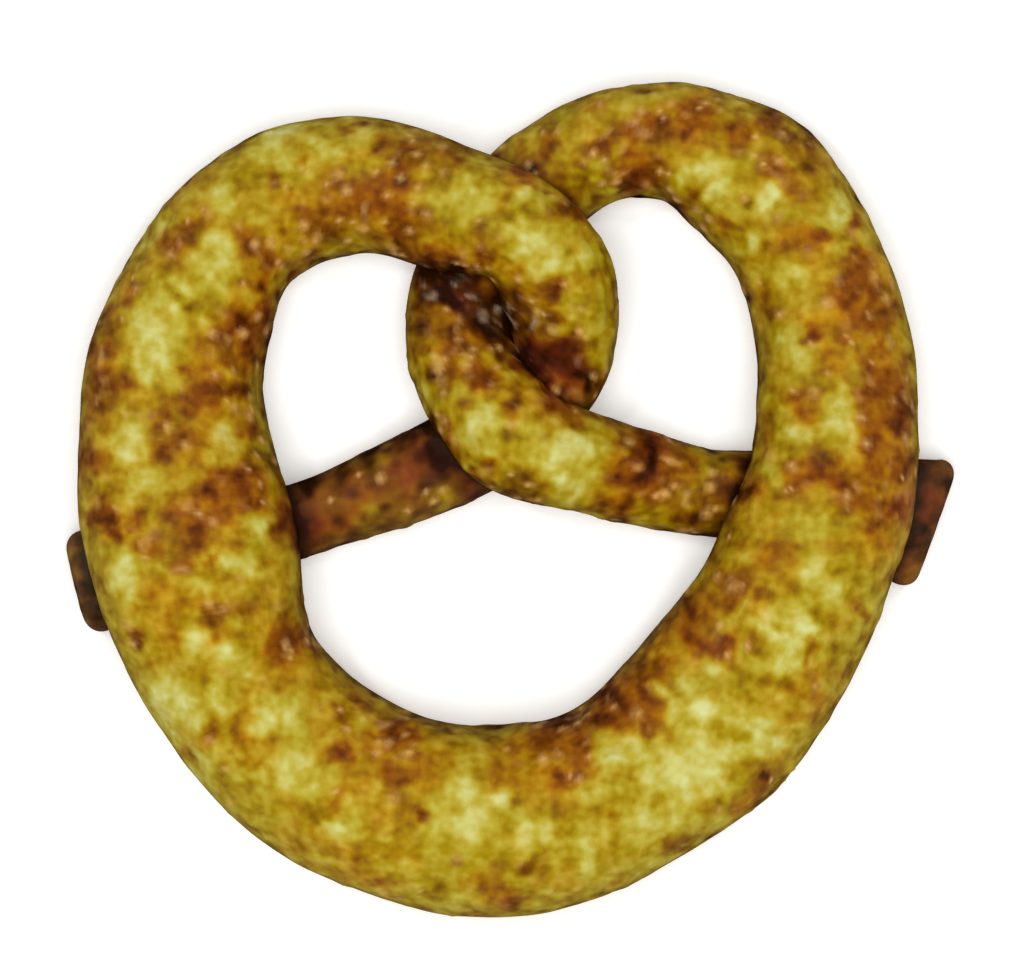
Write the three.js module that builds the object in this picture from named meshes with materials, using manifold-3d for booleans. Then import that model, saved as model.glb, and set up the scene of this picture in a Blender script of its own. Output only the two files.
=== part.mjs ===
// A baked soft pretzel: one rope of dough, thick in the belly and thin in the arms, that is
// crossed twice at the top and has both of its ends tucked under the sides of the loop.
// It lies flat as it was baked. Units are millimetres, +Z is up, z = 0 is the tray, +X runs
// to the right cheek, +Y to the crowns, and the origin is under the middle of the pretzel.

import * as THREE from "three";
import { mergeVertices } from "three/addons/utils/BufferGeometryUtils.js";
import Module from "manifold-3d";

// ---- Driving sizes ----

const OVERALL_WIDTH = 140; // across the two cut ends of the rope
const OVERALL_DEPTH = 131; // from the belly's edge to the higher crown
const RING_STEP = 3.6; // spacing of the rings of points along the rope
const SIDES = 26; // points round each ring
const WAIST = 0.45; // share of a section's height at which it is widest
const UNDERSIDE_SQUARENESS = 2.7; // 2 would be an ellipse, more is flatter below
const TRAY_SINK = 1.2; // how far the dough had sagged on to the tray, which cut it flat
const END_ROUNDING = 3.2; // radius on the corners of the two cut ends
const END_ROUNDING_RINGS = 4;
const KNEADING = 0.022; // height of the hand-rolled lumps, as a share of the half width

// The rope's stations from its left end to its right end: where its middle line runs (x, y),
// how far its underside is lifted off the tray, and its width and height there.
const STATIONS = [
  // x, y, lift, width, height
  { name: "left end tip", at: [-69.1, -13.2, 0.0], size: [16.6, 8.5] },
  { name: "left end under the loop", at: [-50.5, -8.5, 0.0], size: [14.6, 8.0] },
  { name: "left arm, outer", at: [-33.0, -3.3, 0.0], size: [11.8, 11.0] },
  { name: "left arm, inner", at: [-15.5, 3.7, 0.0], size: [13.9, 12.0] },
  { name: "lower crossing, under", at: [-1.0, 11.0, 0.0], size: [15.2, 11.5] },
  { name: "left strand turns", at: [6.9, 20.4, 1.5], size: [16.3, 13.0] },
  { name: "left strand hooks over", at: [8.1, 31.5, 6.5], size: [18.1, 13.5] },
  { name: "upper crossing, over", at: [2.8, 41.2, 8.5], size: [17.8, 14.5] },
  { name: "left crown, inner", at: [-10.5, 46.0, 4.5], size: [19.8, 15.5] },
  { name: "left crown", at: [-26.0, 49.4, 0.5], size: [22.1, 16.5] },
  { name: "left shoulder", at: [-41.3, 43.7, 0.0], size: [22.7, 17.5] },
  { name: "left flank", at: [-50.3, 28.5, 0.0], size: [25.8, 19.0] },
  { name: "left cheek", at: [-53.3, 11.0, 0.0], size: [30.5, 20.5] },
  { name: "left side over the end", at: [-49.7, -8.5, 4.4], size: [32.9, 19.5] },
  { name: "belly, left side", at: [-41.6, -30.4, 0.0], size: [28.2, 21.0] },
  { name: "belly, left", at: [-23.5, -46.0, 0.0], size: [29.5, 21.0] },
  { name: "belly", at: [-1.3, -50.3, 0.0], size: [29.7, 21.5] },
  { name: "belly, right", at: [19.5, -43.7, 0.0], size: [28.9, 21.0] },
  { name: "belly, right side", at: [35.7, -29.4, 0.0], size: [30.9, 21.0] },
  { name: "right side over the end", at: [45.4, -11.8, 2.6], size: [28.2, 20.0] },
  { name: "right cheek", at: [51.5, 7.5, 2.6], size: [26.4, 19.0] },
  { name: "right flank", at: [50.9, 27.2, 0.0], size: [24.0, 18.0] },
  { name: "right shoulder", at: [43.8, 43.6, 0.0], size: [22.9, 17.0] },
  { name: "right crown, outer", at: [35.3, 52.4, 0.0], size: [22.6, 16.5] },
  { name: "right crown", at: [24.7, 56.3, 0.0], size: [18.2, 15.5] },
  { name: "right crown, inner", at: [13.3, 54.7, 0.0], size: [17.3, 14.0] },
  { name: "upper crossing, under", at: [1.5, 46.5, 0.0], size: [17.4, 11.5] },
  { name: "right strand hooks back", at: [-5.9, 35.0, 0.0], size: [17.4, 11.0] },
  { name: "right strand turns", at: [-7.2, 22.8, 3.5], size: [17.4, 13.0] },
  { name: "lower crossing, over", at: [0.0, 10.4, 8.0], size: [17.8, 14.0] },
  { name: "right arm, inner", at: [16.0, 4.8, 3.5], size: [15.4, 13.0] },
  { name: "right arm, outer", at: [30.7, 1.3, 0.0], size: [13.9, 12.0] },
  { name: "right end under the loop", at: [48.5, 0.0, 0.0], size: [15.3, 8.0] },
  { name: "right end spreads", at: [59.2, -1.5, 0.0], size: [17.8, 8.5] },
  { name: "right end tip", at: [67.7, -4.6, 0.0], size: [21.8, 8.5] },
];

// The rope is built as three lengths that meet at the crowns, since it crosses over itself.
const LEFT_JOIN = STATIONS.findIndex((s) => s.name === "left crown");
const RIGHT_JOIN = STATIONS.findIndex((s) => s.name === "right crown");
const LAST = STATIONS.length - 1;

// ---- The rope's route and girth ----

const route = new THREE.CatmullRomCurve3(
  STATIONS.map((s) => new THREE.Vector3(...s.at)),
  false,
  "centripetal",
);
const girth = new THREE.CatmullRomCurve3(
  STATIONS.map((s) => new THREE.Vector3(...s.size, 0)),
  false,
  "catmullrom",
  0.4,
);

// Where the rope has come to at station number k, which may lie between two stations.
function ropeAt(k) {
  const t = k / LAST;
  const at = route.getPoint(t);
  const ahead = route.getPoint(Math.min(1, t + 1e-4));
  const behind = route.getPoint(Math.max(0, t - 1e-4));
  const along = new THREE.Vector2(ahead.x - behind.x, ahead.y - behind.y).normalize();
  const size = girth.getPoint(t);
  return { at, along, width: size.x, height: size.y };
}

// Station numbers of rings spaced evenly in plan from station a to station b.
function evenStops(a, b) {
  const FINE = 400;
  const lengths = [0];
  const numbers = [a];
  let last = route.getPoint(a / LAST);
  for (let i = 1; i <= FINE; i++) {
    const k = a + ((b - a) * i) / FINE;
    const p = route.getPoint(k / LAST);
    lengths.push(lengths[i - 1] + Math.hypot(p.x - last.x, p.y - last.y));
    numbers.push(k);
    last = p;
  }
  const total = lengths[FINE];
  const count = Math.round(total / RING_STEP);
  const stops = [];
  let j = 0;
  for (let i = 0; i <= count; i++) {
    const want = (total * i) / count;
    while (j < FINE - 1 && lengths[j + 1] < want) j++;
    const f = (want - lengths[j]) / (lengths[j + 1] - lengths[j]);
    stops.push(i === count ? b : numbers[j] + (numbers[j + 1] - numbers[j]) * f);
  }
  return stops;
}

// ---- Sections ----

// Hand-rolled dough is never quite round: slow lumps along the rope and round it.
function kneaded(k, turn) {
  return (
    1 +
    KNEADING *
      (0.9 * Math.sin(2.3 * k + 1.1 + turn) +
        0.7 * Math.sin(3.9 * k + 2.0 - 2 * turn) +
        0.5 * Math.sin(6.1 * k + 0.4 + 3 * turn))
  );
}

// One ring of points round the rope at station number k, set in by some millimetres.
function ring(k, inset) {
  const { at, along, width, height } = ropeAt(k);
  const halfWidth = width / 2 - inset;
  const waistZ = at.z + WAIST * height;
  const above = (1 - WAIST) * height - inset;
  const below = WAIST * height + TRAY_SINK - inset;
  const points = [];
  for (let i = 0; i < SIDES; i++) {
    const turn = (2 * Math.PI * i) / SIDES;
    const c = Math.cos(turn);
    const s = Math.sin(turn);
    const power = s >= 0 ? 1 : 2 / UNDERSIDE_SQUARENESS;
    const lump = kneaded(k, turn);
    const out = halfWidth * lump * Math.sign(c) * Math.abs(c) ** power;
    const up = (s >= 0 ? above : below) * lump * Math.sign(s) * Math.abs(s) ** power;
    points.push([
      at.x + along.y * out,
      at.y - along.x * out,
      Math.max(0, waistZ + up),
    ]);
  }
  return points;
}

// ---- A closed length of rope ----

function lengthOfRope(from, to) {
  const rings = evenStops(from, to).map((k) => ({ k, inset: 0 }));
  // The two cut ends of the rope have rounded corners; the joins at the crowns do not.
  const roundEnd = (atStart) => {
    const tip = atStart ? rings[0].k : rings[rings.length - 1].k;
    const next = atStart ? rings[1].k : rings[rings.length - 2].k;
    const perMm = (next - tip) / RING_STEP;
    const corner = [];
    for (let i = 0; i < END_ROUNDING_RINGS; i++) {
      const deep = (Math.PI / 2) * (i / END_ROUNDING_RINGS);
      corner.push({
        k: tip + perMm * END_ROUNDING * (1 - Math.cos(deep)),
        inset: END_ROUNDING * (1 - Math.sin(deep)),
      });
    }
    if (atStart) rings.splice(0, 1, ...corner);
    else rings.splice(rings.length - 1, 1, ...corner.reverse());
  };
  if (from === 0) roundEnd(true);
  if (to === LAST) roundEnd(false);

  const points = [];
  const faces = [];
  for (const { k, inset } of rings) points.push(...ring(k, inset));
  for (let r = 0; r < rings.length - 1; r++) {
    for (let i = 0; i < SIDES; i++) {
      const a = r * SIDES + i;
      const b = r * SIDES + ((i + 1) % SIDES);
      const c = a + SIDES;
      const d = b + SIDES;
      faces.push([a, d, b], [a, c, d]);
    }
  }
  // Each end is closed by a fan from the middle of its ring.
  const close = (start, flip) => {
    const middle = [0, 0, 0];
    for (let i = 0; i < SIDES; i++) {
      for (let n = 0; n < 3; n++) middle[n] += points[start + i][n] / SIDES;
    }
    const hub = points.length;
    points.push(middle);
    for (let i = 0; i < SIDES; i++) {
      const a = start + i;
      const b = start + ((i + 1) % SIDES);
      faces.push(flip ? [hub, b, a] : [hub, a, b]);
    }
  };
  close(0, false);
  close((rings.length - 1) * SIDES, true);
  return { points, faces };
}

// ---- The pretzel ----

const wasm = await Module();
wasm.setup();

function solid({ points, faces }) {
  return new wasm.Manifold(
    new wasm.Mesh({
      numProp: 3,
      vertProperties: new Float32Array(points.flat()),
      triVerts: new Uint32Array(faces.flat()),
    }),
  );
}

const leftStrand = solid(lengthOfRope(0, LEFT_JOIN));
const belly = solid(lengthOfRope(LEFT_JOIN, RIGHT_JOIN));
const rightStrand = solid(lengthOfRope(RIGHT_JOIN, LAST));
const baked = belly.add(leftStrand).add(rightStrand).getMesh();

const geometry = new THREE.BufferGeometry();
geometry.setAttribute(
  "position",
  new THREE.Float32BufferAttribute(baked.vertProperties, baked.numProp),
);
geometry.setIndex(new THREE.Uint32BufferAttribute(baked.triVerts, 1));

// Brought to its exact overall size, with the origin under the middle.
geometry.computeBoundingBox();
const box = geometry.boundingBox;
geometry.translate(-(box.min.x + box.max.x) / 2, -(box.min.y + box.max.y) / 2, -box.min.z);
geometry.scale(
  OVERALL_WIDTH / (box.max.x - box.min.x),
  OVERALL_DEPTH / (box.max.y - box.min.y),
  1,
);
const shaped = mergeVertices(geometry, 1e-4);
shaped.computeVertexNormals();

const crust = new THREE.MeshStandardMaterial({ name: "crust", color: "#a37f24", roughness: 0.5 });
const pretzel = new THREE.Mesh(shaped, crust);
pretzel.name = "pretzel";

const group = new THREE.Group();
group.name = "soft_pretzel";
group.add(pretzel);

export default group;
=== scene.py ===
# %% [markdown]
# # A baked soft pretzel
# A soft pretzel is one rope of wheat dough. The baker rolls it thick in the middle and thin
# towards its ends, crosses the ends over each other, folds them back over the loop or under
# it, and bakes it until the crust browns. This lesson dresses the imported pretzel: it builds
# the rope again as a fine mesh, raises the lumps and blisters of its crust, and browns it
# with a node material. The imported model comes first, since it fixes the place and the size
# of everything that follows.

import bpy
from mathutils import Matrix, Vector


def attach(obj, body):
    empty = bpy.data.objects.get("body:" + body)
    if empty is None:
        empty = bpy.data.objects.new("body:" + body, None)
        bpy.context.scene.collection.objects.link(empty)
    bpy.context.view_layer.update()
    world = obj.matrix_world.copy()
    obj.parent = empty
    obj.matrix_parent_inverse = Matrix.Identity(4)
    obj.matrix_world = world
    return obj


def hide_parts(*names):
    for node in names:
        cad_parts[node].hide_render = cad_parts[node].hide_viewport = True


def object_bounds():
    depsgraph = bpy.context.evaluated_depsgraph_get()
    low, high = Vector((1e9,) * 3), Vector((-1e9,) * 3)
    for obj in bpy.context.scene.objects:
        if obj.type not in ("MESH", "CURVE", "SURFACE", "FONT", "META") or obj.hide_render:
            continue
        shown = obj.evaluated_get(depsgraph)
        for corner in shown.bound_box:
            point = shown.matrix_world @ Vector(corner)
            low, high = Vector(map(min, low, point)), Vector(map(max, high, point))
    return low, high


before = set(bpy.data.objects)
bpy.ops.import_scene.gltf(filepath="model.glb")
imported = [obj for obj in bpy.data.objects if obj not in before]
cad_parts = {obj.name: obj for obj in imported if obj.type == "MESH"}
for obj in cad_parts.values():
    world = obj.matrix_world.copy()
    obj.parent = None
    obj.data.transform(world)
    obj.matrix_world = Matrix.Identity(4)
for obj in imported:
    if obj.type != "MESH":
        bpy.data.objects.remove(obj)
cad_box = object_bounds()
print("packed pretzel, low and high corner in metres:", cad_box)

# %% [markdown]
# ## The camera
# The pretzel lies on its back on the table and is looked at from straight above. A long lens
# from nearly a metre away keeps the tall belly from looking larger than the flat ends. The
# focal length follows from how much of the table the picture takes in.

# %% Look straight down through a long lens
import math

import bpy
import numpy as np
from mathutils import Vector, noise
from mathutils.kdtree import KDTree

MM = 0.001
IMAGE_WIDTH_PX = 1024
PICTURE_WIDTH = 160.4 * MM  # of the plane half-way up the dough
CAMERA_HEIGHT = 900 * MM
MID_DOUGH = 10 * MM
PICTURE_CENTRE = (0.3 * MM, 3.0 * MM)

lens = bpy.data.cameras.new("overhead_lens")
lens.sensor_width = 36
lens.lens = lens.sensor_width * (CAMERA_HEIGHT - MID_DOUGH) / PICTURE_WIDTH
lens.clip_start = 10 * MM
camera = bpy.data.objects.new("overhead_camera", lens)
camera.location = (*PICTURE_CENTRE, CAMERA_HEIGHT)
bpy.context.collection.objects.link(camera)
bpy.context.scene.camera = camera
print(f"focal length {lens.lens:.0f} mm, one pixel is {PICTURE_WIDTH / IMAGE_WIDTH_PX / MM:.3f} mm")

# %% [markdown]
# ## Colours and nodes
# Colours are picked as sRGB hex values, as a painter's chart would list them, and shader
# sockets want linear light, so one function turns one into the other. A second small
# function adds a node, sets it and links it in one line, which keeps long materials readable.


# %% A hex colour in linear light, and a node in one line
def linear(hex_colour):
    channels = [int(hex_colour[i : i + 2], 16) / 255 for i in (1, 3, 5)]
    return (*[c / 12.92 if c <= 0.04045 else ((c + 0.055) / 1.055) ** 2.4 for c in channels], 1)


def add_node(tree, kind, settings=None, **inputs):
    """A node of that kind. Settings are its attributes. Each input is a value or the output of
    another node, named after its socket, or i and the socket's number."""
    node = tree.nodes.new(kind)
    for name, value in (settings or {}).items():
        setattr(node, name, value)
    for name, value in inputs.items():
        by_number = name[0] == "i" and name[1:].isdigit()
        socket = node.inputs[int(name[1:]) if by_number else name.replace("_", " ")]
        if isinstance(value, bpy.types.NodeSocket):
            tree.links.new(value, socket)
        else:
            socket.default_value = value
    return node


def new_material(name):
    material = bpy.data.materials.new(name)
    material.use_nodes = True
    material.node_tree.nodes.clear()
    return material, material.node_tree


print("golden crust in linear light:", [round(c, 3) for c in linear("#AA8820")])

# %% [markdown]
# ## The table and the light
# Food is often shown on a white sweep under a softbox straight above it. The sheet is a large
# plane of opal paper, faintly lit from below so that no shadow on it turns dark grey. One
# wide light overhead gives the tops their brightness and lets the sides of the rope fall off,
# and an even white sky fills the shadows. A polariser keeps the reflections of the big light,
# the sky and the paper off the buttered crust, since they would grey its colour: things that
# glossy rays can't see do the same here. Two small bare lights put back the glints.

# %% A sheet of opal paper lit from below
PAPER_FIBRE = 0.8 * MM  # real fibres are under 0.1 mm across, too fine to show
PAPER_TOOTH = 0.1 * MM
PAPER_GLOW = 0.16  # the light that comes up through the paper
SWEEP = 3.0  # half the sheet's width, in metres
GAP_UNDER_DOUGH = 0.02 * MM  # keeps the crust's flat underside and the sheet from flickering

paper_white, tree = new_material("matt_opal_paper")
fibres = add_node(tree, "ShaderNodeTexNoise", Scale=1 / PAPER_FIBRE, Detail=3.0).outputs[0]
tooth = add_node(tree, "ShaderNodeBump", Strength=0.05, Distance=PAPER_TOOTH, Height=fibres)
paper = add_node(
    tree, "ShaderNodeBsdfPrincipled", Base_Color=linear("#F7F7F5"), Roughness=0.9,
    Emission_Color=linear("#FFFFFF"), Emission_Strength=PAPER_GLOW,
    Normal=tooth.outputs["Normal"],
)
add_node(tree, "ShaderNodeOutputMaterial", Surface=paper.outputs["BSDF"])

sheet = bpy.data.meshes.new("paper_sweep")
corners = [(-SWEEP, -SWEEP, 0), (SWEEP, -SWEEP, 0), (SWEEP, SWEEP, 0), (-SWEEP, SWEEP, 0)]
sheet.from_pydata(corners, [], [(0, 1, 2, 3)])
sheet.materials.append(paper_white)
floor = bpy.data.objects.new("paper_sweep", sheet)
floor.location.z = cad_box[0][2] - GAP_UNDER_DOUGH
floor.visible_glossy = False
bpy.context.collection.objects.link(floor)
print("paper sweep is", 2 * SWEEP, "m square")


# %% A softbox overhead and a white sky
def softbox(name, place, size, watts, polarised):
    light = bpy.data.lights.new(name, "AREA")
    light.shape = "SQUARE"
    light.size = size
    light.energy = watts
    box = bpy.data.objects.new(name, light)
    box.location = place
    box.rotation_euler = (-Vector(place)).to_track_quat("-Z", "Y").to_euler()
    box.visible_glossy = not polarised
    bpy.context.collection.objects.link(box)
    return box


softbox("softbox_overhead", (0.0, -0.20, 1.25), size=1.0, watts=15.0, polarised=True)
softbox("small_light_left", (-0.55, 0.30, 1.0), size=0.12, watts=1.6, polarised=False)
softbox("small_light_right", (0.50, 0.45, 1.0), size=0.12, watts=1.2, polarised=False)

SKY_STRENGTH = 0.34
sky = bpy.data.worlds.new("white_sky")
sky.use_nodes = True
sky.node_tree.nodes["Background"].inputs["Color"].default_value = linear("#FFFFFF")
sky.node_tree.nodes["Background"].inputs["Strength"].default_value = SKY_STRENGTH
sky.cycles_visibility.glossy = False
bpy.context.scene.world = sky
bpy.context.scene.view_settings.view_transform = "Standard"

# %% [markdown]
# ## The rope
# The rope is swept along a smooth curve through named stations. Each station says where the
# middle line of the rope runs, how far the underside is lifted off the table, and how wide
# and how high the rope is there. The strands and the loop lie on each other, so the lift
# rises wherever something passes underneath. A centripetal Catmull-Rom curve is used because
# it goes through every station and doesn't overshoot where the spacing is uneven.

# %% The rope's stations, in millimetres
STATIONS = [
    # name, (x, y), lift, width, height
    ("left end tip", (-69.1, -13.2), 0.0, 16.6, 8.5),
    ("left end under the loop", (-50.5, -8.5), 0.0, 14.6, 8.0),
    ("left arm, outer", (-33.0, -3.3), 0.0, 11.8, 11.0),
    ("left arm, inner", (-15.5, 3.7), 0.0, 13.9, 12.0),
    ("lower crossing, under", (-1.0, 11.0), 0.0, 15.2, 11.5),
    ("left strand turns", (6.9, 20.4), 1.5, 16.3, 13.0),
    ("left strand hooks over", (8.1, 31.5), 6.5, 18.1, 13.5),
    ("upper crossing, over", (2.8, 41.2), 8.5, 17.8, 14.5),
    ("left crown, inner", (-10.5, 46.0), 4.5, 19.8, 15.5),
    ("left crown", (-26.0, 49.4), 0.5, 22.1, 16.5),
    ("left shoulder", (-41.3, 43.7), 0.0, 22.7, 17.5),
    ("left flank", (-50.3, 28.5), 0.0, 25.8, 19.0),
    ("left cheek", (-53.3, 11.0), 0.0, 30.5, 20.5),
    ("left side over the end", (-49.7, -8.5), 4.4, 32.9, 19.5),
    ("belly, left side", (-41.6, -30.4), 0.0, 28.2, 21.0),
    ("belly, left", (-23.5, -46.0), 0.0, 29.5, 21.0),
    ("belly", (-1.3, -50.3), 0.0, 29.7, 21.5),
    ("belly, right", (19.5, -43.7), 0.0, 28.9, 21.0),
    ("belly, right side", (35.7, -29.4), 0.0, 30.9, 21.0),
    ("right side over the end", (45.4, -11.8), 2.6, 28.2, 20.0),
    ("right cheek", (51.5, 7.5), 2.6, 26.4, 19.0),
    ("right flank", (50.9, 27.2), 0.0, 24.0, 18.0),
    ("right shoulder", (43.8, 43.6), 0.0, 22.9, 17.0),
    ("right crown, outer", (35.3, 52.4), 0.0, 22.6, 16.5),
    ("right crown", (24.7, 56.3), 0.0, 18.2, 15.5),
    ("right crown, inner", (13.3, 54.7), 0.0, 17.3, 14.0),
    ("upper crossing, under", (1.5, 46.5), 0.0, 17.4, 11.5),
    ("right strand hooks back", (-5.9, 35.0), 0.0, 17.4, 11.0),
    ("right strand turns", (-7.2, 22.8), 3.5, 17.4, 13.0),
    ("lower crossing, over", (0.0, 10.4), 8.0, 17.8, 14.0),
    ("right arm, inner", (16.0, 4.8), 3.5, 15.4, 13.0),
    ("right arm, outer", (30.7, 1.3), 0.0, 13.9, 12.0),
    ("right end under the loop", (48.5, 0.0), 0.0, 15.3, 8.0),
    ("right end spreads", (59.2, -1.5), 0.0, 17.8, 8.5),
    ("right end tip", (67.7, -4.6), 0.0, 21.8, 8.5),
]
NAMES = [name for name, *_ in STATIONS]
PLACES = np.array([[x, y, lift] for _, (x, y), lift, *_ in STATIONS])
SIZES = np.array([[width, height] for *_, width, height in STATIONS])
LAST = len(STATIONS) - 1
print(len(STATIONS), "stations")


# %% A point of the curve at any station number
GIRTH_EASE = 0.4  # below the usual 0.5, so that the rope swells less past its widest stations


def through(points, number, centripetal):
    """The curve through the points, at any station numbers: an array with a row for each."""
    whole = np.clip(np.floor(number).astype(int), 0, LAST - 1)
    part = (number - whole)[:, None]
    padded = np.vstack([2 * points[0] - points[1], points, 2 * points[-1] - points[-2]])
    before, start, end, after = (padded[whole + i] for i in range(4))
    if centripetal:
        first, here, last = (
            np.linalg.norm(far - near, axis=1)[:, None] ** 0.5
            for near, far in ((before, start), (start, end), (end, after))
        )
        leave = (start - before) / first - (end - before) / (first + here) + (end - start) / here
        arrive = (end - start) / here - (after - start) / (here + last) + (after - end) / last
        leave, arrive = leave * here, arrive * here
    else:
        leave, arrive = GIRTH_EASE * (end - before), GIRTH_EASE * (after - start)
    turn = 2 * start - 2 * end + leave + arrive
    bend = -3 * start + 3 * end - 2 * leave - arrive
    return start + part * (leave + part * (bend + part * turn))


FINE_STEPS = 20000
fine_numbers = np.linspace(0, LAST, FINE_STEPS + 1)
fine_route = through(PLACES, fine_numbers, True)
fine_travel = np.concatenate([[0], np.cumsum(np.hypot(*np.diff(fine_route[:, :2], axis=0).T))])
ROPE_LENGTH = fine_travel[-1]
print(f"the rope is {ROPE_LENGTH:.0f} mm long")

# %% [markdown]
# ## Rings round the rope
# A baked rope is round on top and flat below, where it lay on the tray. Each ring is an
# ellipse above its widest line and a squarer curve below it. The rings are about 0.6 mm
# apart, which is fine enough for blisters two millimetres across to be real shapes. The two
# cut ends have rounded corners, and rings that shrink towards a point close them.

# %% Rings along the rope, with rounded cut ends
RING_STEP = 0.63
SIDES = 104  # points round each ring
WAIST = 0.45  # share of its height at which the rope is widest
UNDERSIDE_SQUARENESS = 2.7  # 2 would be an ellipse
TRAY_SINK = 1.2  # how far the dough had sagged on to the tray
END_ROUNDING = 3.2  # radius of the cut ends' corners
END_RINGS = 9
CAP_RINGS = 9
SMALLEST_CAP_RING = 0.1  # as a share of the whole ring

travel = np.linspace(END_ROUNDING, ROPE_LENGTH - END_ROUNDING, int(ROPE_LENGTH / RING_STEP))
corner = np.linspace(0, math.pi / 2, END_RINGS, endpoint=False)
corner_travel = END_ROUNDING * (1 - np.cos(corner))
corner_inset = END_ROUNDING * (1 - np.sin(corner))
cap_shrink = np.linspace(SMALLEST_CAP_RING, 1, CAP_RINGS, endpoint=False)

flat_cap = np.zeros(CAP_RINGS)
full_rings = np.ones(2 * END_RINGS + len(travel))
ring_travel = np.concatenate(
    [flat_cap, corner_travel, travel, ROPE_LENGTH - corner_travel[::-1], flat_cap + ROPE_LENGTH]
)
ring_inset = np.concatenate(
    [flat_cap + END_ROUNDING, corner_inset, 0 * travel, corner_inset[::-1], flat_cap + END_ROUNDING]
)
ring_shrink = np.concatenate([cap_shrink, full_rings, cap_shrink[::-1]])
ring_number = np.interp(ring_travel, fine_travel, fine_numbers)
print(len(ring_travel), "rings of", SIDES, "points")


# %% The smooth rope, before any lumps
KNEADING = 0.022  # height of the hand-rolled lumps, as a share of the half width


def kneaded(number, turn):
    """Slow lumps of hand-rolled dough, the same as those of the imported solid."""
    return 1 + KNEADING * (
        0.9 * np.sin(2.3 * number + 1.1 + turn)
        + 0.7 * np.sin(3.9 * number + 2.0 - 2 * turn)
        + 0.5 * np.sin(6.1 * number + 0.4 + 3 * turn)
    )


middle = through(PLACES, ring_number, True)
girth = through(SIZES, ring_number, False)
ahead, behind = (np.clip(ring_number + step, 0, LAST) for step in (1e-3, -1e-3))
along = (through(PLACES, ahead, True) - through(PLACES, behind, True))[:, :2]
along /= np.linalg.norm(along, axis=1)[:, None]

turn = np.linspace(0, 2 * math.pi, SIDES, endpoint=False)[None, :]
cosine, sine = np.cos(turn), np.sin(turn)
power = np.where(sine >= 0, 1.0, 2 / UNDERSIDE_SQUARENESS)
lump = kneaded(ring_number[:, None], turn) * ring_shrink[:, None]
half_width = girth[:, :1] / 2 - ring_inset[:, None]
above = (1 - WAIST) * girth[:, 1:] - ring_inset[:, None]
below = WAIST * girth[:, 1:] + TRAY_SINK - ring_inset[:, None]
out = half_width * lump * np.sign(cosine) * np.abs(cosine) ** power
up = np.where(sine >= 0, above, below) * lump * np.sign(sine) * np.abs(sine) ** power
rope = np.stack(
    [
        middle[:, :1] + along[:, 1:] * out,
        middle[:, 1:2] - along[:, :1] * out,
        middle[:, 2:] + WAIST * girth[:, 1:] + up,
    ],
    axis=2,
)
print("smooth rope, mm:", rope.min(axis=(0, 1)).round(1), rope.max(axis=(0, 1)).round(1))

# %% [markdown]
# ## Where strands touch
# Dough that lies against dough stays moist there, and the crust beside such a crease bakes
# dark; the shade that falls into the crease is painted into it as well. To find the creases, the
# rope is split into its left strand, its loop and its right strand, and each point looks for
# the nearest point of the others. Neighbours along the same strand are left out, or every point
# would count as touching.

# %% How close each point is to another strand, in millimetres
left_crown = fine_travel[np.searchsorted(fine_numbers, NAMES.index("left crown"))]
right_crown = fine_travel[np.searchsorted(fine_numbers, NAMES.index("right crown"))]
CLEAR_OF_NEIGHBOURS = 30.0
CREASE_REACH = 2.2  # the gap at which the darkening of a crease has faded to a third


def tree_of(rings_wanted):
    points = rope[rings_wanted].reshape(-1, 3)
    tree = KDTree(len(points))
    for index, point in enumerate(points):
        tree.insert(point, index)
    tree.balance()
    return tree


on_left = ring_travel < left_crown
on_right = ring_travel > right_crown
on_loop = ~on_left & ~on_right
past_left_crown = ring_travel > left_crown + CLEAR_OF_NEIGHBOURS
before_right_crown = ring_travel < right_crown - CLEAR_OF_NEIGHBOURS
inner_strands = ring_travel < left_crown - CLEAR_OF_NEIGHBOURS
inner_strands |= ring_travel > right_crown + CLEAR_OF_NEIGHBOURS
others = {
    "left": (on_left, on_right | (on_loop & past_left_crown)),
    "loop": (on_loop, inner_strands),
    "right": (on_right, on_left | (on_loop & before_right_crown)),
}
gap = np.zeros(rope.shape[:2])
for strand, (mine, theirs) in others.items():
    tree = tree_of(theirs)
    nearest = [tree.find(point)[2] for point in rope[mine].reshape(-1, 3)]
    gap[mine] = np.array(nearest).reshape(-1, SIDES)
    print(strand, "strand comes within", round(min(nearest), 2), "mm of another")
crease = np.exp(-gap / CREASE_REACH)

# %% Which way the smooth rope's skin faces
round_ring = np.roll(rope, -1, axis=1) - np.roll(rope, 1, axis=1)
down_rope = np.gradient(rope, axis=0)
normal = np.cross(round_ring, down_rope)
normal /= np.linalg.norm(normal, axis=2)[:, :, None] + 1e-9
outward = rope - rope.mean(axis=1)[:, None, :]
mid = len(rope) // 2
if (normal[mid] * outward[mid]).sum() < 0:
    normal = -normal
facing_up = normal[:, :, 2]
ON_TOP = 0.1  # skin counts as top where its normal rises by more than this
print("share of the rope that faces up:", round(float((facing_up > ON_TOP).mean()), 2))


# %% Noise fixed to the dough
FINER_EACH_OCTAVE = 2.1


def noise_at(points, size_mm, octaves=2):
    """Smooth noise of about -1 to 1, whose lumps are size_mm across. A number added to the
    points picks another stretch of the noise."""
    values = [
        noise.fractal(Vector(point) / size_mm, 1.0, FINER_EACH_OCTAVE, octaves)
        for point in points.reshape(-1, 3)
    ]
    return np.array(values).reshape(points.shape[:2])


print("noise at three points:", noise_at(rope[:1, :3], 5.0).round(2))
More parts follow.
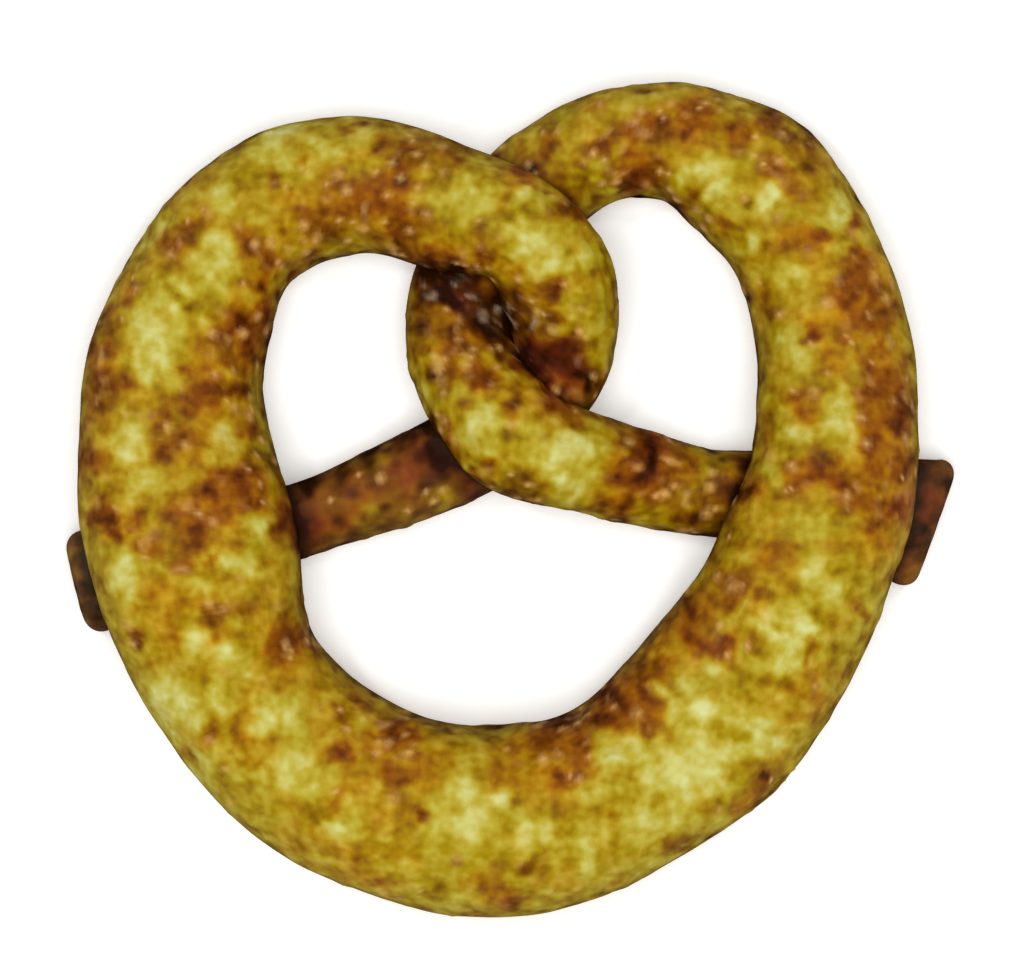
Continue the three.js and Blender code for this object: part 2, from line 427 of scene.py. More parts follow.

# %% [markdown]
# ## Patches of the crust
# No oven browns evenly. The thin arms, the cut ends and the hollow in the middle of the
# twist went darkest, the hollow partly with painted shade, and the fat belly kept pale patches.
# Noise alone can't put a patch where the baker would look for it, so the larger patches are
# listed one by one, each with its middle and its radius. Noise bends their outlines, so that
# none is a disc.

# %% Listed patches: x, y and radius in millimetres
PALE_PATCHES = [
    # left strand and left side of the loop
    (-6, 46, 3.5), (3, 41, 3.6), (2, 24, 2.5), (12, 37, 2), (1.5, 46, 2), (-24, 57, 3),
    (-29, 53.5, 2.5), (-35, 56, 4), (-45, 47, 2), (-53, 43, 2.5), (-52, 18, 2), (-45, 37, 4.5),
    (-55.5, 26.5, 5.5), (-56, 21, 3), (-60, 8, 3), (-58, 3, 2.5), (-44, 8, 3), (-60, -12, 3.5),
    (-42, -9, 2), (-40, -4, 3), (-43, -23.5, 3), (-53, -32, 5), (-37, -34, 3), (-48, -42, 3),
    (-21.5, -2.5, 2.2), (-12.5, -1, 2.4), (-48, -21, 3), (-47.5, -12, 2), (-50, 33, 2.2),
    (-46, -31, 3),
    # belly
    (-33, -41, 4), (-26, -50, 3), (-6.5, -48, 5.3), (0, -45.5, 2.5), (3, -51.5, 3), (12, -54.5, 2),
    (14, -46, 3), (17, -39, 4), (25, -43, 6), (31, -41, 6), (31, -33, 3), (29, -28, 2.5),
    (25.5, -32, 2.5), (31.5, -25.5, 2), (38.5, -35.5, 3.5), (35, -17, 1.8), (20.5, -43, 2),
    (43, -36.5, 2.5), (22, -50, 4),
    # right side of the loop and right strand
    (43, -20.5, 5), (41.5, -25, 2), (46.5, -13.5, 4), (50, -15, 2.5), (46, -5, 3), (42.5, 3, 2),
    (50, 13, 4), (44, 12, 3), (45, 23.5, 3), (44, 34, 4), (36.5, 41, 2.5), (40, 46, 2.5),
    (50, 44, 3), (30, 52, 2.6), (27.5, 50, 2), (33, 48, 2), (35.5, 45.5, 1.5), (8, 6, 5.5),
    (-5, 12.5, 3), (7, 36, 2.8), (54.5, 9, 2), (-4, 8, 3),
]
BROWN_PATCHES = [
    # left strand and left side of the loop
    (-29.5, 42, 3.5), (-27, 46, 2.5), (-18, 43, 3), (-22, 47, 3.5), (-17, 49, 2.5),
    (-24.5, 49, 2.5), (-33, 54.5, 1.8), (-14, 42, 2.5), (-16, 40, 3), (-22, 56, 3), (-10, 54, 3),
    (-16, 54, 3), (-37, 50, 2), (-40, 39.5, 3), (-40, 35, 2.5), (-50, 43, 2), (-52, 39.5, 2.5),
    (-59.5, 32, 2.5), (-63, 24.5, 5), (-61, 19.5, 3), (-40, 27, 3), (-53.5, 28.5, 1.5),
    (-51, 20, 2), (-64, 16, 4), (-65, 6, 3), (-43, 24, 5), (-43, 17, 2), (-40, 11, 2.5),
    (-55, 12.5, 2), (-50.7, 31.7, 1), (-48, 17, 4), (-51, 10, 2.5), (-42, 3, 4.5), (-50, -4, 4),
    (-44.5, -0.5, 2.5), (-46, 2, 3), (-46, -16.5, 2), (-46, -9.5, 2), (-58, -2, 2),
    (-51.5, -8.5, 2.5), (-64, -2, 2), (-62, -5, 2), (-38, -21.5, 2), (-35, -22, 3.5),
    (-56.5, -6.5, 2.2), (-59, -21, 2), (-54, 8, 2), (-46.5, -35.5, 2),
    # belly
    (-17.5, -36.5, 3.5), (-26, -39, 2.5), (-18, -42.5, 2.5), (-27, -47.5, 2), (-13, -48, 1.5),
    (0, -62, 2), (3, -57, 2), (8, -44, 2.5), (9, -36, 4.5), (16, -32, 4), (22.5, -34.5, 2.5),
    (34, -23.5, 2), (47, -24, 1.5), (55, -17, 1.5), (23.5, -28, 3), (22, -32, 2), (29, -20, 4),
    (38, -43.5, 4), (39, -23, 2), (39, -16, 2), (26.5, -53.5, 2),
    # right side of the loop and right strand
    (35, -13, 3), (57, -4, 2), (59, -1, 3), (47, 5, 3.5), (53, 1, 4), (55.5, 16.5, 3), (58, 6.5, 3),
    (52.5, 25.5, 1.8), (60, 14, 5), (59.5, 18.5, 3), (47, 15, 3), (57.5, 22, 3), (57.5, 29.5, 4),
    (41, 29, 3), (48, 25, 1.5), (49, 41, 2), (61, 6, 3), (53, 33, 4), (56, 38, 2), (54, 43, 1.5),
    (40.5, 59.5, 3.5), (46.5, 55, 3), (42, 50, 3), (36, 57, 3.5), (29, 58, 4), (23, 57.5, 3),
    (17, 58.5, 2.5), (20, 51, 4), (28, 47, 3), (34, 43, 3), (2.5, 51.5, 1.5), (6, 56, 3),
    (15, 55, 2), (9, 45, 2), (21, 6, 4), (26, 5.5, 4), (30, -1.5, 2.5), (20, 3, 2.5), (34, 2, 3),
    (28, -2, 4), (17, -1, 3), (-13, 27, 3), (-13, 23, 3), (-9, 29, 3), (-12, 30.5, 3),
    (-10, 24, 2.5), (-5.5, 26, 3), (-10, 20, 3), (-5, 20, 3), (-1.5, 13.5, 2), (-3, 4.5, 2),
    (-9, 10.5, 1.5), (4.7, 31, 2.5), (-13.5, 0, 2), (3, 2, 3), (9.5, 23, 2), (12, 18.5, 3.3),
    (6.5, 32, 2.5), (8, 28, 2), (-9, 37, 2), (-13.5, 37.5, 1.5), (-3, 37.5, 2),
]
HOLLOW_PATCHES = [
    # the steep sides that face each other in the middle of the twist: baked dark, with the shade
    # that falls there painted in
    (-13, 33.5, 3.4), (-10, 33.0, 3.8), (-7, 32, 4.0), (-4, 30, 4.2), (-1.5, 27.8, 4.0),
    (1, 25.6, 3.6), (3.5, 23.4, 3.2), (6, 21.6, 2.8), (8.5, 20.0, 2.4),
]
RED_PATCHES = [
    # the lower right of the hollow, the arms and the right end
    (6, 22, 3.5), (8, 20.5, 3), (-9, 31, 2.5), (-33, -4, 4), (-17, 3.5, 2.5), (-12, 7, 3.5),
    (-6, 2, 2), (23.5, 7, 3), (7, 16, 3), (64.5, -1, 4.5),
]
DARK_PATCHES = [
    # the arms beside the crossing, along their upper rim and under the loop: partly baked dark and
    # partly painted shade
    (-11, 6, 3.5), (-31, 2.6, 1.8), (-26, 4.6, 1.8), (-21.5, 6.8, 1.8), (-17, 9, 2), (-13.5, 11, 2),
    (-34, -4, 3), (22, 6.5, 3), (37, 1, 1.5), (12.5, 17.5, 2.5),
]
END_PATCHES = [
    # the two cut ends, but not the sides of the loop that lie over them
    (-65.5, -17.5, 2), (-66.5, -13.5, 3), (63.5, -6.5, 2.5), (69.5, 3, 2.5), (68, -3, 2),
    (66, -7, 2.5),
]
AMBER_PATCHES = [
    (58, 8, 6), (59, 18, 2.5), (53, 30, 5), (57, 36, 3.5), (48, 38.5, 4), (30, 61, 4), (20, 58, 3),
    (2, 50, 3.5), (-16, 47, 4), (-32, 46, 3), (-42, 29, 4), (-42, 0, 6), (-53, -18, 5),
    (-33, -24, 4), (-26, -32, 5), (-39, -36, 2), (23, -24, 3), (24, 1, 3), (-19, -41, 7),
    (-46, -20, 3), (47, 30, 3), (10, -35, 3), (-4, -60, 3), (6, -40, 7), (17, -32, 6), (33, -23, 3),
    (41, -10, 3), (59, -8, 4), (46, 3, 3), (45, 13, 3), (60, 0, 4), (36, 2, 3), (-45, 12, 5),
    (-60, -2, 3), (50, 22, 3), (46, -29, 3), (-48, 26, 3), (22, 6.5, 5), (6, 16, 5), (-9, 35, 5),
    (-31, -4, 3), (-25, -3, 3), (-22, 2, 3), (-15, 5, 3),
]
OLIVE_PATCHES = [
    (-8, -57, 9), (20, -52, 10), (26, -44, 6), (4, 4, 4), (27, 46, 4), (38, -41, 6), (-40, -50, 6),
    (-39, -43, 3), (-31, -44, 3.5), (-34, -34, 4), (-54, -29, 8), (-60, -19, 6), (-39, -5, 3),
    (-38.5, 6, 3), (-61, 24, 4), (-53, 28, 6), (-26, 38.5, 4), (-38, 51, 7), (-10, 48, 6),
    (2, 43, 5), (8, 36, 4), (5.5, 27.5, 4), (14, 31, 5), (13.5, 21, 4), (5, 57, 5), (36, 51, 4),
    (2, -57, 5), (-50.7, 31.7, 2), (14, 49.5, 4), (32, 44, 5), (47, 55, 4), (43.5, 44, 2.5),
    (48.5, 30, 2.5), (41, 28, 3), (50, 10, 3), (44, -15, 4), (41, -23, 4), (55.5, -18, 7),
    (31, -30, 6), (15, 9, 4), (21, -36, 3.5), (-1.5, -37, 3), (-15, 29, 4), (-15, 20, 4),
    (50, -5, 3), (-47, -17, 3), (-10, 18, 3), (-3, 29, 4), (6, 4, 8), (33, 3, 5), (-20, -4, 2.5),
    (-12, 0.5, 2.5), (-67, -13, 7), (28, -2, 4),
]
PALE_SPECKS = [  # x and y of the largest
    (6.7, 26.5), (-3.4, 36), (1.2, 34.2), (-1.6, 24), (3.4, 31), (5.2, 28.6), (-28, 0),
    (-20.2, 3.3), (-24, 3.8), (-12, -0.3), (-16, -1.5), (-7.5, 4.5), (-8.5, 9), (-11.5, 13.3),
    (-7, 22.8), (-11.8, 22), (7.5, 17.3), (-1.6, 40.5), (12, 25.5), (11, 30), (-26.5, 43.5),
    (-23, 42.5), (-19.5, 43), (-30, 40.8), (-10.5, 51), (-13, 44.5),
]
# painted highlights: glints in the hollow of the twist, x, y and radius in millimetres
PAINTED_GLINTS = [
    (-4.5, 29, 1.1), (-13.3, 31.5, 0.9), (-6, 32.5, 0.8), (-9.5, 34.5, 0.8), (3.6, 27.2, 0.8),
    (-1.5, 30.5, 0.7),
]
dark_count = len(HOLLOW_PATCHES + DARK_PATCHES + END_PATCHES)
print(len(PALE_PATCHES), "pale,", len(BROWN_PATCHES), "brown and", dark_count, "dark patches")

# %% How strong each kind of patch is at each point
OUTLINE_WANDER, WANDER_LENGTH = 2.2, 6.0
wander = np.stack([noise_at(rope + shift, WANDER_LENGTH) for shift in (300, 400)], axis=2)
bent = rope[:, :, :2] + OUTLINE_WANDER * wander


def patches(spots, crispness=1.7):
    """1 in the middle of each spot, fading to 0 round it, the faster the crisper it is."""
    strength = np.zeros(rope.shape[:2])
    for x, y, radius in spots:
        away = ((bent[:, :, 0] - x) ** 2 + (bent[:, :, 1] - y) ** 2) / radius**2
        strength = np.maximum(strength, np.exp(-(away**crispness)))
    return strength


def stretch_of_rope(first, last, soften=5.0):
    """1 between two named stations, fading to 0 beyond them."""
    a, b = np.interp([NAMES.index(first), NAMES.index(last)], fine_numbers, fine_travel)
    rise = 1 / (1 + np.exp(-(ring_travel - a) / soften * 2))
    fall = 1 / (1 + np.exp((ring_travel - b) / soften * 2))
    return (rise * fall)[:, None] + np.zeros(rope.shape[:2])


END_LENGTH = 25.0
from_the_tips = np.minimum(ring_travel, ROPE_LENGTH - ring_travel)[:, None]
pale = patches(PALE_PATCHES)
brown = patches(BROWN_PATCHES)
red = patches(RED_PATCHES)
hollow = patches(HOLLOW_PATCHES, crispness=1.8)
dark = np.maximum(patches(DARK_PATCHES), patches(END_PATCHES) * (from_the_tips < END_LENGTH))

left_tip = stretch_of_rope("left end tip", "left end tip")
left_arm = np.clip(stretch_of_rope("left end tip", "lower crossing, under") + left_tip, 0, 1)
right_end = stretch_of_rope("right end under the loop", "right end tip")
shares = {"pale": pale, "brown": brown, "hollow": hollow, "arm": left_arm, "end": right_end}
for name, share in shares.items():
    print(f"{name}: {100 * float((share > 0.5).mean()):.0f}% of the points")

# %% [markdown]
# ## Lumps, blisters and pits
# Steam lifts small blisters under a crust, and fermenting dough leaves pits and slow lumps.
# Where the rope is bent hard its skin is drawn into fine ridges along the rope, and in the
# hollow of the twist it was pulled into streaks. Each kind is a height in millimetres, added
# along the surface's own normal: noise gives the lumps, ridges and streaks, and scattered
# domes and dents from a seeded draw give the blisters, the small pale specks and the pits.
# The relief is calmer in the creases, at the cut ends and on the sides of the rope.

# %% Lumps, ridges and streaks from noise
RIDGE_LENGTH, RIDGE_WIDTH = 7.0, 1.5
along_mm = np.broadcast_to(ring_travel[:, None], rope.shape[:2])
radius_in_ridges = girth[:, :1] / 2 / RIDGE_WIDTH
skin_space = [along_mm / RIDGE_LENGTH, cosine * radius_in_ridges, sine * radius_in_ridges]
ridges = noise_at(np.stack(skin_space, axis=2), 1.0)

HARD_BENDS = [
    "left strand turns", "left strand hooks over", "upper crossing, over",
    "right strand hooks back", "right strand turns", "lower crossing, over",
]
BEND_REACH = 9.0
bend_travel = np.interp([NAMES.index(name) for name in HARD_BENDS], fine_numbers, fine_travel)
from_bends = (ring_travel[:, None] - bend_travel[None, :]) / BEND_REACH
hard_bend = np.exp(-(from_bends**2)).max(axis=1)[:, None]

DOWN_THE_HOLLOW = np.array([0.80, -0.60])  # the way the middle of the twist runs
STREAK_LENGTH, STREAK_WIDTH = 5.0, 1.3
x, y, z = np.moveaxis(rope, 2, 0)
down_hollow = x * DOWN_THE_HOLLOW[0] + y * DOWN_THE_HOLLOW[1]
over_hollow = x * -DOWN_THE_HOLLOW[1] + y * DOWN_THE_HOLLOW[0]
streak_space = [down_hollow / STREAK_LENGTH, over_hollow / STREAK_WIDTH, z / STREAK_WIDTH]
streaks = noise_at(np.stack(streak_space, axis=2), 1.0)

LUMP_HEIGHT, LUMP_SIZE = 0.42, 11.0
DIMPLE_HEIGHT, DIMPLE_SIZE = 0.10, 3.4
RIDGE_HEIGHT, RIDGE_AT_BENDS = 0.05, 0.16
STREAK_HEIGHT = 0.30
relief = LUMP_HEIGHT * noise_at(rope, LUMP_SIZE) + DIMPLE_HEIGHT * noise_at(rope + 50, DIMPLE_SIZE)
relief += (RIDGE_HEIGHT + RIDGE_AT_BENDS * hard_bend) * ridges + STREAK_HEIGHT * hollow * streaks
print(f"lumps, ridges and streaks run from {relief.min():.2f} to {relief.max():.2f} mm")

# %% Scattered blisters
draw = np.random.default_rng(seed=7)
whole_rope = tree_of(np.ones(len(rope), bool))
flat_points = rope.reshape(-1, 3)
HIGHER_WINS = 0.05  # so that a speck lands on the upper of two strands
BLISTER_FIELDS = 13.0  # blisters gather in fields about this far across
ROUND_THE_SIDES = -0.2  # blisters reach a little below the rope's widest line
gathers = np.clip(0.5 + 0.9 * noise_at(rope + 200, BLISTER_FIELDS, 1), 0.05, None)
gathers *= facing_up > ROUND_THE_SIDES


def scatter(count, smallest, largest, height, liking, by_hand=()):
    """Domes, or dents if height is below zero, of random width, most where liking is high.
    Returns the height that they add, and how far up its dome each point is."""
    added = np.zeros(len(flat_points))
    inside = np.zeros(len(flat_points))
    odds = liking.reshape(-1) / liking.sum()
    drawn = draw.choice(len(flat_points), count, replace=False, p=odds)
    x, y, z = flat_points.T
    placed = [
        int(np.argmin((x - at_x) ** 2 + (y - at_y) ** 2 - HIGHER_WINS * z))
        for at_x, at_y in by_hand
    ]
    for centre in [*drawn, *placed]:
        radius = draw.uniform(smallest, largest)
        tall = height * draw.uniform(0.5, 1.0)
        for _, index, distance in whole_rope.find_range(flat_points[centre], radius):
            dome = (1 - (distance / radius) ** 2) ** 2
            added[index] += tall * dome
            inside[index] = max(inside[index], dome)
    return added.reshape(rope.shape[:2]), inside.reshape(rope.shape[:2])


blisters, on_blister = scatter(1000, smallest=1.0, largest=2.3, height=0.28, liking=gathers)
print("blisters cover", f"{100 * float((on_blister > 0).mean()):.0f}% of the points")

# %% Pale specks on the rims of the brown patches, and pits
CLEAR_OF_LEFT_END = -62  # the left cut end has no pale specks
rims = 0.15 + 3 * brown * (1 - brown) - 0.1 * left_arm + 3 * hollow * (1 - hollow)
rims = rims - 1.2 * (hollow + dark + red) - right_end
on_top = (facing_up > ON_TOP) * (x > CLEAR_OF_LEFT_END) * (1 - 0.6 * pale)
speck_places = on_top * np.clip(rims, 0.01, None)
specks, on_speck = scatter(
    320, smallest=0.7, largest=1.4, height=0.14, liking=speck_places, by_hand=PALE_SPECKS
)
pits, in_pit = scatter(420, smallest=1.2, largest=2.4, height=-0.26, liking=gathers)

HIGHEST, DEEPEST = 0.5, -0.45  # where several domes or dents overlap
relief += np.clip(blisters + specks, 0, HIGHEST) + np.clip(pits, DEEPEST, 0)
print(f"with blisters, specks and pits, from {relief.min():.2f} to {relief.max():.2f} mm")

# %% The crust's final shape, settled on the table
TIP_REACH = 12.0  # the cut ends' skin was pressed smooth for about this far
SOFT_EDGE = 0.25  # rounding where the flat underside meets the sides

calm_in_creases = 1 - 0.6 * crease
calm_at_the_tips = np.clip(0.25 + from_the_tips / TIP_REACH, 0, 1)
calm_on_the_sides = np.clip(0.5 + 1.5 * facing_up, 0.5, 1)
smoother = calm_in_creases * calm_at_the_tips * calm_on_the_sides
crust_points = rope + normal * (relief * smoother)[:, :, None]
high_up = crust_points[:, :, 2]
high_up = 0.5 * (high_up + np.sqrt(high_up**2 + 4 * SOFT_EDGE**2))
crust_points[:, :, 2] = high_up - high_up.min()

cad_low, cad_high = (np.array(corner[:2]) / MM for corner in cad_box)
low, high = (corner[:2] for corner in (rope.min(axis=(0, 1)), rope.max(axis=(0, 1))))
stretch = (cad_high - cad_low) / (high - low)
crust_points[:, :, :2] -= (low + high) / 2
crust_points[:, :, :2] *= stretch
crust_points[:, :, :2] += (cad_low + cad_high) / 2
print("stretched to the packed solid by", stretch.round(4))

# %% [markdown]
# ## From patches to numbers
# The browning is one number for each point of the mesh, from 0 for the palest crust to 1 for
# nearly burnt, and more than 1 looks the same as 1. The patches and the creases add to it, and
# painted shade darkens the sides that turn away from the light, the creases and the hollow
# besides; the domes of the blisters bake a little paler and the pits darker, and the side that
# lay on the tray is an even brown. Five more numbers colour it: how amber the crust is rather
# than olive, how ruddy, how much of the material's mottling shows, where the pale specks and
# their painted glints are, and where a painted greyish sheen lies on the streaks and glints of
# the twist, the arm and the cut ends.

# %% How brown each point is, with painted shade
side = np.clip(1 - facing_up, 0, 1)
top_share = np.clip(facing_up * 3 + 1, 0, 1)
on_the_tray = np.clip(-facing_up * 4 - 0.6, 0, 1)
towards_the_middle = -(normal[:, :, :2] * rope[:, :, :2]).sum(axis=2) / np.hypot(x, y)
inner_side_shade = side * np.clip(towards_the_middle, 0, 1)


def weighed(plain, *shares):
    """A plain value, with a weight added wherever something is."""
    return plain + sum(weight * where for weight, where in shares)


# Painted shade: the sides that turn away from the light, most of all those facing the holes, are
# darker. The creases, the hollow of the twist and the dark patches are partly baked darker and
# partly painted shade, and the raised streaks in the hollow are painted lighter, as highlights.
browning_and_shade = weighed(
    0.455,
    (0.245, brown), (-0.23, pale * top_share), (0.34, hollow), (-0.14, hollow * streaks),
    (0.24, dark), (0.09, side**2), (0.14, inner_side_shade), (0.45, crease),
    (0.21, left_arm), (0.31, right_end), (0.16, in_pit), (-0.08, on_blister),
)
TRAY_BROWNING = 0.56
browning_and_shade += on_the_tray * (TRAY_BROWNING - browning_and_shade)
print(f"browning runs from {browning_and_shade.min():.2f} to {browning_and_shade.max():.2f}")

# %% How amber and how ruddy it is
# Painted shade too: the sides that turn away from the light, and most of all those facing the
# holes, are painted more olive.
amber = weighed(
    0.36,
    (0.50, brown), (-0.40, pale), (0.36, noise_at(rope + 500, 9.0)), (-0.45, side**1.5),
    (-0.20, inner_side_shade), (0.50, patches(AMBER_PATCHES)), (-0.42, patches(OLIVE_PATCHES)),
)
TRAY_AMBER = 0.5
amber += on_the_tray * (TRAY_AMBER - amber)

CLEAR_OF_LEFT_TIP = -60  # the cut face of the left end is grey rather than ruddy
reddened = ((0.8, red), (0.10, left_arm), (0.3, right_end), (0.3, hollow), (0.2, crease))
ruddy = np.clip(weighed(0, *reddened), 0, 1) * (x > CLEAR_OF_LEFT_TIP)
print(f"{100 * float((amber > 0.5).mean()):.0f}% of the points are more amber than olive")

# %% Where it is speckled, mottled or has a painted sheen
# Pale flecks and specks: partly paler crust on the blister tips and partly painted glints.
FLECK_SIZE = 2.4
FLECK_CONTRAST, FLECK_RARITY = 2.6, 0.85
fleck = noise_at(rope + 600, FLECK_SIZE, 1)
fleck = np.clip(FLECK_CONTRAST * fleck - FLECK_RARITY, 0, 1)
flecked = weighed(0.15, (0.7, brown), (-0.6, pale), (-1, hollow), (-0.3, left_arm), (-1, right_end))
flecked = np.clip(flecked, 0, 1) * (facing_up > ON_TOP)
SPECKS_START, SPECKS_RISE = 0.32, 0.2  # specks show on skin that is browner than this
brown_enough = np.clip((browning_and_shade - SPECKS_START) / SPECKS_RISE, 0, 1)
speck_and_glint = np.maximum(on_speck * brown_enough, fleck * flecked)

EVENER = 0.5  # how much evener the drawn dough of the arm, the end and the hollow browned
mottle = 1 - EVENER * np.clip(left_arm + right_end + hollow, 0, 1)

# A painted sheen: painted glints and glinting streak crests in the hollow, and a faint painted
# greyish shine on the cut ends and the left arm.
near_tips = np.clip(1.5 - from_the_tips / TIP_REACH, 0, 1)
painted_streak_glints = hollow * np.clip(2.0 * streaks - 0.8, 0, 1)
painted_sheen = patches(PAINTED_GLINTS) + painted_streak_glints + 0.08 * near_tips + 0.05 * left_arm * (1 - dark)
painted_sheen = np.clip(painted_sheen, 0, 1)
print(f"{100 * float((speck_and_glint > 0.3).mean()):.0f}% of the points are speckled")

# %% [markdown]
# ## The mesh
# Rings of points become bands of four-sided faces, and a fan of triangles closes the middle
# of each cut end. The browning and the numbers that go with it are stored as attributes of
# the points, so that the material can read them by name.

# %% Build the crust's mesh
rings = len(crust_points)
hubs = np.stack([crust_points[0].mean(axis=0), crust_points[-1].mean(axis=0)])
vertices = np.vstack([crust_points.reshape(-1, 3), hubs]) * MM

ring, point = np.meshgrid(np.arange(rings - 1), np.arange(SIDES), indexing="ij")
here, beside = ring * SIDES + point, ring * SIDES + (point + 1) % SIDES
quads = np.stack([here, here + SIDES, beside + SIDES, beside], axis=2).reshape(-1, 4)
last_ring, first_hub, last_hub = (rings - 1) * SIDES, rings * SIDES, rings * SIDES + 1
pairs = [(point, (point + 1) % SIDES) for point in range(SIDES)]
fans = [(first_hub, point, beside) for point, beside in pairs]
fans += [(last_hub, last_ring + beside, last_ring + point) for point, beside in pairs]

skin = bpy.data.meshes.new("baked_crust")
skin.from_pydata(vertices.tolist(), [], quads.tolist() + fans)
skin.polygons.foreach_set("use_smooth", [True] * len(skin.polygons))
crust_numbers = {
    "browning_and_shade": browning_and_shade, "amber": amber, "ruddy": ruddy,
    "mottle": mottle, "speck_and_glint": speck_and_glint, "painted_sheen": painted_sheen,
}
for name, values in crust_numbers.items():
    at_hubs = [values[0].mean(), values[-1].mean()]
    attribute = skin.attributes.new(name, "FLOAT", "POINT")
    attribute.data.foreach_set("value", np.append(values, at_hubs).astype(np.float32))
skin.update()

crust = bpy.data.objects.new("baked_crust", skin)
bpy.context.collection.objects.link(crust)
print(len(skin.vertices), "points,", 2 * len(quads) + len(fans), "triangles")

# %% [markdown]
# ## Baked crust
# The crust of a wheat roll browns because sugars and proteins in its skin react with the
# oven's heat. Thin browning is a greenish gold, more of it is amber, and the darkest is a
# red brown. It was brushed with butter, so it has a soft shine that is broken up by the
# blisters. Bread's refractive index is near 1.45. Its skin has mottles about 5 mm across,
# freckles of about 2.5 mm, and a grain finer than 1 mm. All three shift the browning, by less
# on the smooth dark arm and ends. Two colour ramps turn the browning, with its painted shade,
# into amber and olive crust, and the ruddy brown, the pale specks with their painted glints and
# the painted greyish sheen are laid over them, each broken up by a fine noise.

# %% Browning with its mottles, freckles and grain
AMBER_CRUST = [
    (0.00, "#D4BA64"), (0.13, "#CAA43E"), (0.30, "#B88B0E"), (0.46, "#A26C00"),
    (0.60, "#8A4E00"), (0.74, "#6C3400"), (0.87, "#4A1E00"), (1.00, "#240C00"),
]
OLIVE_CRUST = [
    (0.00, "#C8CB8C"), (0.13, "#C0BC6B"), (0.30, "#AF9F32"), (0.46, "#9A8104"),
    (0.60, "#806000"), (0.74, "#623F00"), (0.87, "#442600"), (1.00, "#201000"),
]
RUDDY_CRUST = [(0.30, "#A8662C"), (0.65, "#742A08"), (1.00, "#2C0C04")]

baked, tree = new_material("buttered_baked_crust")
place = add_node(tree, "ShaderNodeTexCoord").outputs["Object"]
browned_and_shaded = add_node(tree, "ShaderNodeAttribute", {"attribute_name": "browning_and_shade"}).outputs["Fac"]
mottled = add_node(tree, "ShaderNodeAttribute", {"attribute_name": "mottle"}).outputs["Fac"]
MOTTLES = [  # name, mm across, octaves beyond the first, largest shift of the browning
    ("mottles", 5.0, 2.0, 0.22), ("freckles", 2.6, 1.0, 0.28), ("grain", 0.9, 1.0, 0.05),
]
subtract, multiply = {"operation": "SUBTRACT"}, {"operation": "MULTIPLY"}
multiply_add = {"operation": "MULTIPLY_ADD"}
for name, across_mm, detail, shift in MOTTLES:
    noisy = add_node(
        tree, "ShaderNodeTexNoise",
        Vector=place, Scale=1 / (across_mm * MM), Detail=detail, Roughness=0.6,
    ).outputs[0]
    centred = add_node(tree, "ShaderNodeMath", subtract, i0=noisy, i1=0.5).outputs[0]
    scaled = add_node(tree, "ShaderNodeMath", multiply, i0=centred, i1=2 * shift).outputs[0]
    browned_and_shaded = add_node(
        tree, "ShaderNodeMath", multiply_add, i0=scaled, i1=mottled, i2=browned_and_shaded
    ).outputs[0]
    print(f"{name} {across_mm} mm across shift the browning by up to {shift}")

# %% Browning into colour
amber_ramp = add_node(tree, "ShaderNodeValToRGB", Fac=browned_and_shaded)
olive_ramp = add_node(tree, "ShaderNodeValToRGB", Fac=browned_and_shaded)
ruddy_ramp = add_node(tree, "ShaderNodeValToRGB", Fac=browned_and_shaded)
ramps = ((amber_ramp, AMBER_CRUST), (olive_ramp, OLIVE_CRUST), (ruddy_ramp, RUDDY_CRUST))
for ramp, stops in ramps:
    elements = ramp.color_ramp.elements
    while len(elements) < len(stops):
        elements.new(0.5)
    for element, (where, hex_colour) in zip(elements, stops):
        element.position = where
        element.color = linear(hex_colour)

DRIFT_SIZE = 4.5 * MM
DRIFT_STRENGTH = 1.2
colour_mix, clamped_multiply = {"data_type": "RGBA"}, {**multiply, "use_clamp": True}
drift = add_node(
    tree, "ShaderNodeTexNoise", Vector=place, Scale=1 / DRIFT_SIZE, Detail=1.0
).outputs[0]
amber_part = add_node(tree, "ShaderNodeAttribute", {"attribute_name": "amber"}).outputs["Fac"]
amber_part = add_node(
    tree, "ShaderNodeMath", multiply_add, i0=drift, i1=DRIFT_STRENGTH, i2=amber_part
).outputs[0]
amber_part = add_node(
    tree, "ShaderNodeMath", {**subtract, "use_clamp": True}, i0=amber_part, i1=DRIFT_STRENGTH / 2
).outputs[0]
crust_colour = add_node(
    tree, "ShaderNodeMix", colour_mix,
    i0=amber_part, i6=olive_ramp.outputs["Color"], i7=amber_ramp.outputs["Color"],
).outputs[2]
print("nodes down to the golden crust:", len(tree.nodes))
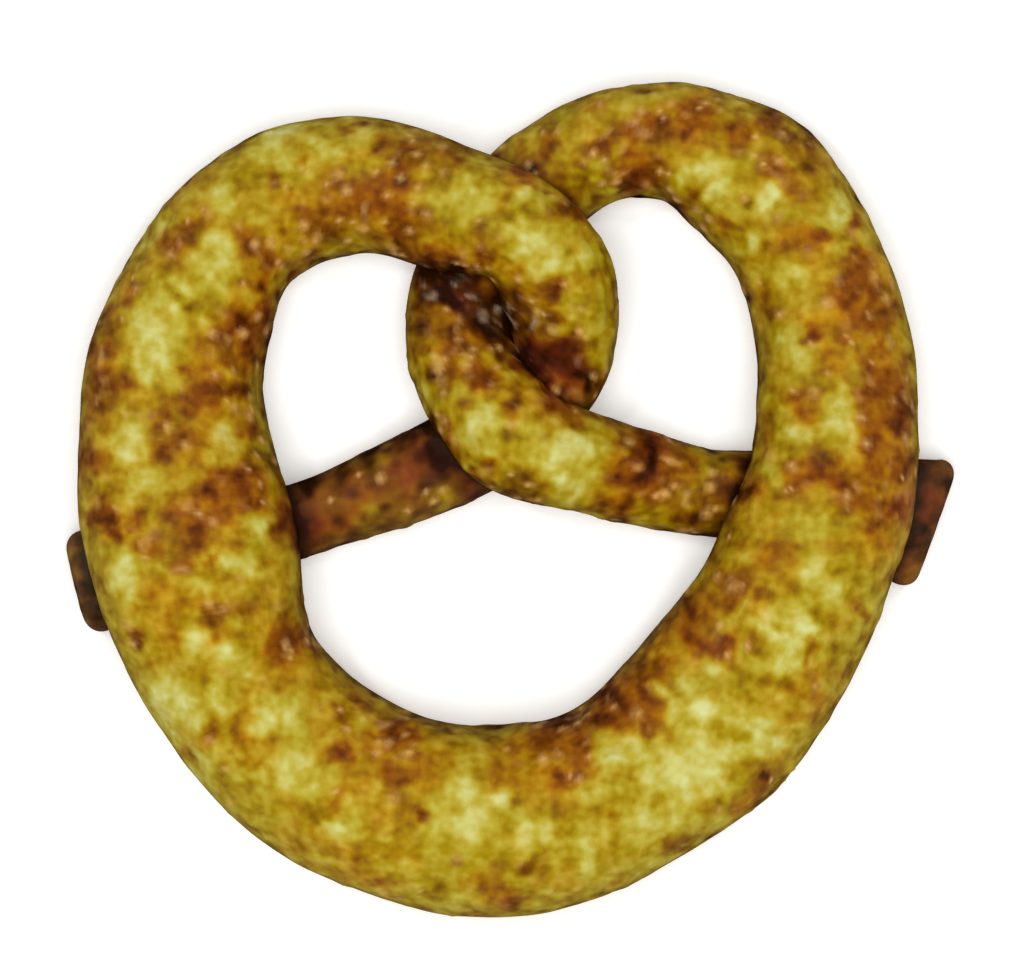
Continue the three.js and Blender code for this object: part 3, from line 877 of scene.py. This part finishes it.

# %% Ruddy brown, pale specks with painted glints and a painted greyish sheen over it
RAGGED_SIZE = 1.4 * MM
ragged = add_node(
    tree, "ShaderNodeTexNoise", Vector=place, Scale=1 / RAGGED_SIZE, Detail=1.0
).outputs[0]
# The speck tint is partly the paler crust of the blister tips and partly a painted glint; the sheen
# tint is a painted highlight.
OVERLAYS = [  # attribute, strength, tint
    ("ruddy", 0.75, ruddy_ramp.outputs["Color"]),
    ("speck_and_glint", 0.60, linear("#D0A05A")),
    ("painted_sheen", 0.60, linear("#A08466")),
]
for name, strength, tint in OVERLAYS:
    share = add_node(tree, "ShaderNodeAttribute", {"attribute_name": name}).outputs["Fac"]
    share = add_node(tree, "ShaderNodeMath", multiply, i0=share, i1=2 * strength).outputs[0]
    share = add_node(tree, "ShaderNodeMath", clamped_multiply, i0=share, i1=ragged).outputs[0]
    crust_colour = add_node(
        tree, "ShaderNodeMix", colour_mix, i0=share, i6=crust_colour, i7=tint
    ).outputs[2]
    print(f"{name} is laid over the crust at {strength}")

# %% A buttery shine over a finely wrinkled skin
WRINKLE_SIZE = 0.7 * MM
BUBBLE_SIZE = 1.3 * MM
SKIN_DEPTH = 0.25 * MM
wrinkles = add_node(
    tree, "ShaderNodeTexNoise",
    Vector=place, Scale=1 / WRINKLE_SIZE, Detail=4.0, Roughness=0.65, Distortion=0.6,
)
bubbles = add_node(
    tree, "ShaderNodeTexVoronoi", {"feature": "SMOOTH_F1"},
    Vector=place, Scale=1 / BUBBLE_SIZE, Smoothness=0.6,
)
height = add_node(
    tree, "ShaderNodeMath", multiply_add,
    i0=bubbles.outputs["Distance"], i1=-0.5, i2=wrinkles.outputs[0],
).outputs[0]
skin_bump = add_node(tree, "ShaderNodeBump", Strength=0.35, Distance=SKIN_DEPTH, Height=height)

BUTTERED, DRY = 0.38, 0.60  # the roughness where the butter lies thick, and where it soaked in
POLARISED = 0.2  # a polariser takes off part of the small lights' shine too; 0.5 takes nothing off
shine = add_node(
    tree, "ShaderNodeMapRange", Value=drift, From_Min=0.3, From_Max=0.7, To_Min=BUTTERED, To_Max=DRY
)
crust_shader = add_node(
    tree, "ShaderNodeBsdfPrincipled", Base_Color=crust_colour, Roughness=shine.outputs["Result"],
    IOR=1.45, Specular_IOR_Level=POLARISED, Normal=skin_bump.outputs["Normal"],
)
add_node(tree, "ShaderNodeOutputMaterial", Surface=crust_shader.outputs["BSDF"])
skin.materials.append(baked)
print("the crust has", len(tree.nodes), "nodes")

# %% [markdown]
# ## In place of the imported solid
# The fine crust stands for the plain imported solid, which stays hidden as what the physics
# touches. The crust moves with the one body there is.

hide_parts("pretzel")
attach(crust, "root")
